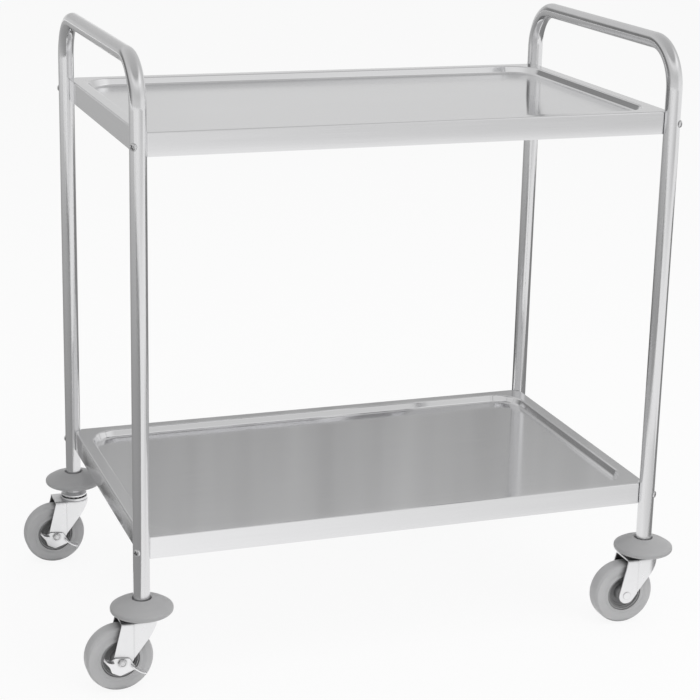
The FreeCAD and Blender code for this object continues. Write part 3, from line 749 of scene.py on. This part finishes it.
def fork_wall():
    """Columns from the crown's bend down to the lower edge, for one cheek and its half of the nose."""
    straight = REAR_COLUMNS + 1
    edge, front_top = cheek_edge(straight)
    rise = front_top - edge[-1]
    top = CROWN_HEIGHT - CROWN_BEND
    columns = []
    for k, (spot, out) in enumerate(nose_line()):
        if k < straight:
            foot = edge[k]
        else:
            foot = Vector((spot.x, edge[-1].y + rise.y * (spot.x - edge[-1].x) / rise.x))
        column = []
        for b in range(CROWN_STEPS + 1):
            angle = math.pi / 2 * b / CROWN_STEPS
            base = spot - out * (CROWN_BEND * (1 - math.sin(angle)))
            column.append(Vector((base.x, base.y, top + CROWN_BEND * math.cos(angle))))
        for r in range(1, WALL_ROWS + 1):
            along = spot.x + (foot.x - spot.x) * r / WALL_ROWS
            column.append(Vector((along, spot.y, top + (foot.y - top) * r / WALL_ROWS)))
        columns.append(column)
    return columns


def fork_skin():
    near = fork_wall()
    far = [[Vector((v.x, -v.y, v.z)) for v in column] for column in near]
    columns = near + far[::-1]
    depth = len(columns[0])
    verts = [v for column in columns for v in column]
    rows = [list(range(i * depth, (i + 1) * depth)) for i in range(len(columns))]
    faces = rows_to_faces(rows)
    faces.append([row[0] for row in rows])
    return verts, faces


def fork(corner):
    mesh = to_mesh(f"{corner}_fork_body", moved(fork_skin(), over_post(corner)))
    top = max(mesh.polygons, key=lambda face: face.center.z)
    if top.normal.z < 0:
        mesh.flip_normals()
    piece = add_piece(f"{corner}_fork_body", mesh, f"{corner}_swivel", "zinc_plate", [f"{corner}_fork"])
    smooth(mesh, sharp=40)
    thicken(piece, FORK_SHEET, offset=-1)
    soften(piece, FORK_EDGE, segments=2)
    even_normals(piece)


# Wheel: tyre and hub turned about the axle, which runs along Y
def on_axle(corner):
    return Matrix.Translation(middle(f"{corner}_tyre")) @ Matrix.Rotation(math.pi / 2, 4, "X")


def wheel(corner):
    body = f"{corner}_wheel"
    tyre = moved(lathe(both_sides(TYRE_SIDE), steps=160), on_axle(corner))
    add_skin(f"{corner}_tyre_ring", tyre, body, "tyre_rubber", [f"{corner}_tyre"], sharp=50)
    hub = moved(lathe(both_sides(HUB_SIDE), steps=128), on_axle(corner))
    add_skin(f"{corner}_hub_disc", hub, body, "hub_plastic", [f"{corner}_hub"], sharp=45)


# Axle ends: hexagon nut outside the lever of a braked caster, flat rivet heads on the others
HEX_CHAMFER = 0.1
NUT_HEX = (6.4 * MM, 25.6 * MM, 28.9 * MM)
SCREW_HEX = (6.5 * MM, -27.5 * MM, -23 * MM)


def hexagon(radius, low, high):
    """Nut or bolt head along Z with its corners turned off."""
    drop = radius * HEX_CHAMFER / 2
    inner = radius * (1 - HEX_CHAMFER)
    verts = []
    rows = []
    for reach, level in ((inner, low), (radius, low + drop), (radius, high - drop), (inner, high)):
        rows.append(list(range(len(verts), len(verts) + 6)))
        for k in range(6):
            angle = math.pi / 3 * k
            verts.append(Vector((reach * math.cos(angle), reach * math.sin(angle), level)))
    faces = rows_to_faces(rows, closed=True)
    faces.append(rows[0])
    faces.append(rows[-1])
    return verts, faces


def braked_axle(corner):
    body = f"{corner}_swivel"
    nut = moved(joined(hexagon(*NUT_HEX), lathe(section(NUT_COLLAR))), on_axle(corner))
    add_skin(f"{corner}_lock_nut", nut, body, "fastener", [f"{corner}_axle_nut"], sharp=35)
    screw = moved(joined(lathe(section(SCREW_SHANK), steps=48), hexagon(*SCREW_HEX)), on_axle(corner))
    add_skin(f"{corner}_axle_screw", screw, body, "fastener", [f"{corner}_axle_bolt"], sharp=35)


def riveted_axle(corner):
    rivet = moved(lathe(both_sides(RIVET_SIDE)), on_axle(corner))
    add_skin(f"{corner}_rivet", rivet, f"{corner}_swivel", "zinc_plate", [f"{corner}_axle_rivet"], sharp=35)


# Brake lever: plate with a lobe below the axle and a foot tab at each end, in millimetres from the axle
LEVER_OUTLINE = (
    (-28.5, -3.6, 1),
    (-28, -7.2, 2),
    (-14.25, -13.5, 8),
    (-7, -20.5, 4),
    (7, -20.5, 4),
    (23, -3.6, 1.5),
    (20.7, 1.8, 1),
    (7, 10, 3),
    (-12.6, 2.8, 3),
    (-17.7, -3.6, 3),
)
TAB_LINES = {
    "left": ((-13.5, -2.4), (-18, -4.4), (-23.5, -5.0), (-28.5, -3.6)),
    "right": ((14, 2.6), (20, 0.6), (30, -1.0), (40, -0.2)),
}
TAB_CUTS = 6
TAB_STEPS = 18


def slab(outline, low, high):
    """Plate between two levels along Y, from an outline in X and Z."""
    count = len(outline)
    verts = [Vector((p.x, -level, p.y)) for level in (low, high) for p in outline]
    faces = [[k, (k + 1) % count, count + (k + 1) % count, count + k] for k in range(count)]
    faces.append(list(range(count)))
    faces.append(list(range(count, 2 * count)))
    return verts, faces


def smooth_line(points):
    """Soft line through a few (x, z) points."""
    line = []
    for k in range(TAB_STEPS + 1):
        spot = k / TAB_STEPS * (len(points) - 1)
        i = min(int(spot), len(points) - 2)
        t = spot - i
        before = Vector(points[max(i - 1, 0)])
        one = Vector(points[i])
        two = Vector(points[i + 1])
        after = Vector(points[min(i + 2, len(points) - 1)])
        slope = (two - before) * t
        bend = (2 * before - 5 * one + 4 * two - after) * t ** 2
        twist = (3 * one - before - 3 * two + after) * t ** 3
        line.append(0.5 * (2 * one + slope + bend + twist))
    return line


def foot_tab(line):
    """Bent strip along a line in X and Z that stands out from the plate, its free corners rounded."""
    verts = []
    rows = []
    for spot in line:
        from_end = (spot - line[-1]).length
        width = TAB_WIDTH
        if from_end < TAB_ROUND:
            width += math.sqrt(max(0, TAB_ROUND ** 2 - (TAB_ROUND - from_end) ** 2)) - TAB_ROUND
        rows.append(list(range(len(verts), len(verts) + TAB_CUTS + 1)))
        for c in range(TAB_CUTS + 1):
            verts.append(Vector((spot.x, -LEVER_INNER - width * c / TAB_CUTS, spot.y)))
    return verts, rows_to_faces(rows)


def brake_lever(corner):
    place = Matrix.Translation(middle(f"{corner}_tyre")) @ Matrix.Rotation(LEVER_TILT, 4, "Y")
    body = f"{corner}_brake"
    outline = rounded(in_metres(LEVER_OUTLINE), closed=True, steps=5)[:-1]
    plate = moved(slab(outline, LEVER_INNER, LEVER_INNER + LEVER_SHEET), place)
    mesh = to_mesh(f"{corner}_lever_plate", plate)
    piece = add_piece(f"{corner}_lever_plate", mesh, body, "lever_plate", [f"{corner}_brake_lever"])
    mesh.shade_smooth()
    soften(piece, LEVER_EDGE, segments=3)
    even_normals(piece)
    for side, points in TAB_LINES.items():
        tab = moved(foot_tab(smooth_line(in_metres(points))), place)
        mesh = to_mesh(f"{corner}_{side}_foot_tab", tab)
        piece = add_piece(f"{corner}_{side}_foot_tab", mesh, body, "lever_plate", [])
        mesh.shade_smooth()
        thicken(piece, TAB_SHEET, offset=0)
        soften(piece, TAB_EDGE, segments=3)
        even_normals(piece)


for end_side in ("left", "right"):
    end_frame(end_side)
for tray_label in TRAY_TOPS:
    tray(tray_label)
    tray_bolts(tray_label)
for corner_name in CORNERS:
    bumper(corner_name)
    swivel_head(corner_name)
    fork(corner_name)
    raceway(corner_name)
    wheel(corner_name)
    if corner_name in BRAKED:
        braked_axle(corner_name)
        brake_lever(corner_name)
    else:
        riveted_axle(corner_name)

# The solids that stay as they are get their slot's material
for entry in frame["record"]["subparts"]:
    node = frame["nodes"][entry["node"]]
    node.data.materials.clear()
    node.data.materials.append(MATERIALS[entry["material_slot"]])


# Floor, light and camera
FLOOR_HALF = 14
FLOOR_GREY = 0.94
FLOOR_GLOW = 0.9
SHEET_LEVEL = 0.004
WORLD_FILL = 0.75
RIGHT_GAIN = 1.28
RIGHT_SPAN = (0.3, 0.6)
WING_TOP_SPAN = (0.14, 0.34)
FRONT_TO_BACK = (-0.3, 0.3)

# Grey levels of the studio by height in front and at the back, and across the foot of the back
FRONT_LEVELS = (
    (0.1, 0.72),
    (0.34, 0.63),
    (0.5, 0.68),
    (0.66, 0.9),
    (0.75, 0.8),
    (0.83, 0.46),
    (0.95, 0.5),
)
BACK_LEVELS = ((0.05, 0.9), (0.16, 0.69), (0.3, 0.67), (0.5, 0.66), (0.95, 0.55))
WING_LEVELS = ((0.27, 0.24), (0.4, 0.8), (0.55, 0.88), (0.63, 1.0), (0.76, 0.95))

# Soft boxes: place, width and depth, power
LAMP_AIM = Vector((0.0, 0.0, 0.4))
LAMPS = (
    ("top_box", Vector((0.4, -0.6, 3.6)), (4.6, 3.6), 60),
    ("front_box", Vector((2.0, -3.6, 1.9)), (2.8, 2.4), 24),
)

# Sheets on the floor: two corners, grey levels from left to right, width of the soft rim
FLOOR_SHEETS = (
    ("left_sheet", (-7.0, -1.9), (-0.53, 3.2), (0.8, 0.32), 0.01),
    ("left_dark_sheet", (-3.0, -2.45), (-0.7, -1.8), (0.1, 0.08), 0.12),
    ("left_far_sheet", (-7.0, 3.2), (-0.42, 9.0), (0.6, 0.44), 0.01),
    ("left_near_sheet", (-0.53, 0.15), (-0.42, 3.2), (0.14, 0.14), 0.01),
    ("rear_sheet", (-0.42, 0.7), (0.6, 3.2), (0.16, 0.16), 0.01),
    ("right_sheet", (0.6, -0.6), (3.6, 3.2), (0.3, 0.2), 0.01),
    ("near_front_sheet", (-0.3, -1.2), (1.15, -0.5), (0.97, 0.66), 0.12),
    ("front_sheet", (-2.0, -10.0), (4.2, -2.4), (1.0, 0.5), 1.0),
)

# Sheet that stands behind the lower tray: corner, width, height, grey levels upward, soft rim, folds
STANDING_CORNER = (-0.32, 0.9, 0.32)
STANDING_WIDTH = 1.5
STANDING_HEIGHT = 0.52
STANDING_LEVELS = (0.37, 0.48)
STANDING_RIM = 0.06
STANDING_FOLDS = 0.1
FOLD_SCALE = 16.0
FOLD_STRETCH = (1, 0.02, 1)

# Camera fitted to the photograph: angles in degrees, lens in picture widths, place
CAMERA_YAW = 19.71
CAMERA_PITCH = 15.89
CAMERA_ROLL = 1.33
CAMERA_LENS = 1912 / 700
CAMERA_SHIFT = -0.05
CAMERA_SPOT = (-1.018 + CART_SHIFT, -2.818, 1.330)
SENSOR_WIDTH = 36
CLIP_END = 60


def mixed_material(name, under, over):
    """Material that lays one kind of shader over another, with its tree, the mix and both shaders."""
    made = bpy.data.materials.new(name)
    made.use_nodes = True
    tree = made.node_tree
    tree.nodes.clear()
    out = tree.nodes.new("ShaderNodeOutputMaterial")
    mix = tree.nodes.new("ShaderNodeMixShader")
    lower = tree.nodes.new(under)
    upper = tree.nodes.new(over)
    tree.links.new(lower.outputs[0], mix.inputs[1])
    tree.links.new(upper.outputs[0], mix.inputs[2])
    tree.links.new(mix.outputs[0], out.inputs["Surface"])
    return made, tree, mix, lower, upper


def seen_rays(tree):
    """1 for rays that the eye, a mirror or glass sends out."""
    path = tree.nodes.new("ShaderNodeLightPath")
    value = path.outputs["Is Camera Ray"]
    for name in ("Is Glossy Ray", "Is Transmission Ray"):
        value = calc(tree, "MAXIMUM", value, path.outputs[name])
    return value


def floor():
    half = FLOOR_HALF
    corners = [Vector((x, y, 0)) for x, y in ((-half, -half), (half, -half), (half, half), (-half, half))]
    mesh = to_mesh("floor", (corners, [[0, 1, 2, 3]]))
    obj = new_object("floor", mesh)
    made, tree, mix, plain, _ = mixed_material("floor_white", "ShaderNodeBsdfDiffuse", "ShaderNodeEmission")
    plain.inputs["Color"].default_value = (FLOOR_GREY, FLOOR_GREY, FLOOR_GREY, 1)
    tree.links.new(calc(tree, "MULTIPLY", seen_rays(tree), FLOOR_GLOW), mix.inputs["Fac"])
    mesh.materials.append(made)


def grey_ramp(tree, value, steps):
    """Grey level that follows (place, level) steps."""
    ramp = tree.nodes.new("ShaderNodeValToRGB")
    while len(ramp.color_ramp.elements) < len(steps):
        ramp.color_ramp.elements.new(1.0)
    for element, (place, level) in zip(ramp.color_ramp.elements, steps):
        element.position = place
        element.color = (level, level, level, 1)
    tree.links.new(value, ramp.inputs["Fac"])
    return ramp.outputs["Color"]


def blend(tree, factor, one, two):
    """Number from one to two by a factor."""
    node = tree.nodes.new("ShaderNodeMix")
    tree.links.new(factor, node.inputs["Factor"])
    tree.links.new(one, node.inputs["A"])
    tree.links.new(two, node.inputs["B"])
    return node.outputs["Result"]


def surroundings():
    """Pale studio: bright in front, white at the back's foot and greyer above, with a grey left wing."""
    world = bpy.data.worlds.new("studio")
    bpy.context.scene.world = world
    world.use_nodes = True
    tree = world.node_tree
    back = tree.nodes["Background"]
    spot = tree.nodes.new("ShaderNodeTexCoord")
    way = tree.nodes.new("ShaderNodeSeparateXYZ")
    tree.links.new(spot.outputs["Generated"], way.inputs[0])
    to_right = spread(tree, way.outputs["X"], 1.0, RIGHT_GAIN, *RIGHT_SPAN)
    front = calc(tree, "MULTIPLY", grey_ramp(tree, way.outputs["Z"], FRONT_LEVELS), to_right)
    across = spread(tree, way.outputs["X"], 0.0, 1.0, -1.0, 1.0)
    above_wing = spread(tree, way.outputs["Z"], 0.0, 1.0, *WING_TOP_SPAN)
    wing = calc(tree, "MAXIMUM", grey_ramp(tree, across, WING_LEVELS), above_wing)
    rear = calc(tree, "MULTIPLY", grey_ramp(tree, way.outputs["Z"], BACK_LEVELS), wing)
    behind = spread(tree, way.outputs["Y"], 0.0, 1.0, *FRONT_TO_BACK)
    around = blend(tree, behind, front, rear)
    tree.links.new(around, back.inputs["Color"])
    tree.links.new(spread(tree, seen_rays(tree), WORLD_FILL, 1.0, 0.0, 1.0), back.inputs["Strength"])


def soft_lamp(name, spot, size, power):
    """Soft box that lights the cart but doesn't show in its metal."""
    lamp = bpy.data.lights.new(name, "AREA")
    lamp.shape = "RECTANGLE"
    lamp.size, lamp.size_y = size
    lamp.energy = power
    obj = new_object(name, lamp)
    obj.location = spot
    obj.rotation_euler = (LAMP_AIM - spot).to_track_quat("-Z", "Y").to_euler()
    obj.visible_glossy = False


def studio_sheet(name, corner, along, up, levels, soft, upward=False, folds=0.0):
    """Grey sheet that only mirrors see, graded along it or upward, with soft folds and a soft rim."""
    corner, along, up = Vector(corner), Vector(along), Vector(up)
    mesh = to_mesh(name, ([corner, corner + along, corner + along + up, corner + up], [[0, 1, 2, 3]]))
    layer = mesh.uv_layers.new(name="sheet")
    for loop in mesh.loops:
        layer.data[loop.index].uv = ((0, 0), (1, 0), (1, 1), (0, 1))[loop.vertex_index]
    obj = new_object(name, mesh)
    made, tree, mix, _, glow = mixed_material(name, "ShaderNodeBsdfTransparent", "ShaderNodeEmission")
    spot = tree.nodes.new("ShaderNodeTexCoord")
    way = tree.nodes.new("ShaderNodeSeparateXYZ")
    tree.links.new(spot.outputs["UV"], way.inputs[0])
    level = spread(tree, way.outputs["Y" if upward else "X"], *levels, 0.0, 1.0)
    if folds:
        bands = noise(tree, FOLD_SCALE, FOLD_STRETCH, uv=True)
        level = calc(tree, "MULTIPLY", level, spread(tree, bands, 1 - folds, 1 + folds))
    tree.links.new(level, glow.inputs["Strength"])
    inside = 1.0
    for axis, size in (("X", along.length), ("Y", up.length)):
        off_middle = calc(tree, "ABSOLUTE", calc(tree, "SUBTRACT", way.outputs[axis], 0.5))
        inside = calc(tree, "MULTIPLY", inside, spread(tree, off_middle, 1.0, 0.0, 0.5 - soft / size, 0.5))
    tree.links.new(inside, mix.inputs["Fac"])
    mesh.materials.append(made)
    obj.visible_camera = False
    obj.visible_diffuse = False
    obj.visible_shadow = False


def floor_sheet(name, low, high, levels, soft):
    width, depth = high[0] - low[0], high[1] - low[1]
    studio_sheet(name, (*low, SHEET_LEVEL), (width, 0, 0), (0, depth, 0), levels, soft)


def standing_sheet():
    width, height = (STANDING_WIDTH, 0, 0), (0, 0, STANDING_HEIGHT)
    studio_sheet("standing_sheet", STANDING_CORNER, width, height, STANDING_LEVELS, STANDING_RIM,
                 upward=True, folds=STANDING_FOLDS)


def photo_camera():
    yaw, pitch, roll = (math.radians(angle) for angle in (CAMERA_YAW, CAMERA_PITCH, CAMERA_ROLL))
    ahead = Vector((math.sin(yaw) * math.cos(pitch), math.cos(yaw) * math.cos(pitch), -math.sin(pitch)))
    level_right = Vector((math.cos(yaw), -math.sin(yaw), 0))
    level_up = level_right.cross(ahead)
    right = level_right * math.cos(roll) + level_up * math.sin(roll)
    up = level_up * math.cos(roll) - level_right * math.sin(roll)
    lens = bpy.data.cameras.new("photo_camera")
    lens.sensor_width = SENSOR_WIDTH
    lens.lens = CAMERA_LENS * SENSOR_WIDTH
    lens.shift_y = CAMERA_SHIFT
    lens.clip_end = CLIP_END
    obj = new_object("photo_camera", lens)
    turn = Matrix((right, up, -ahead)).transposed().to_4x4()
    obj.matrix_world = Matrix.Translation(CAMERA_SPOT) @ turn
    bpy.context.scene.camera = obj


floor()
surroundings()
for lamp_row in LAMPS:
    soft_lamp(*lamp_row)
for sheet_row in FLOOR_SHEETS:
    floor_sheet(*sheet_row)
standing_sheet()
photo_camera()
bpy.context.scene.view_settings.view_transform = "Standard"
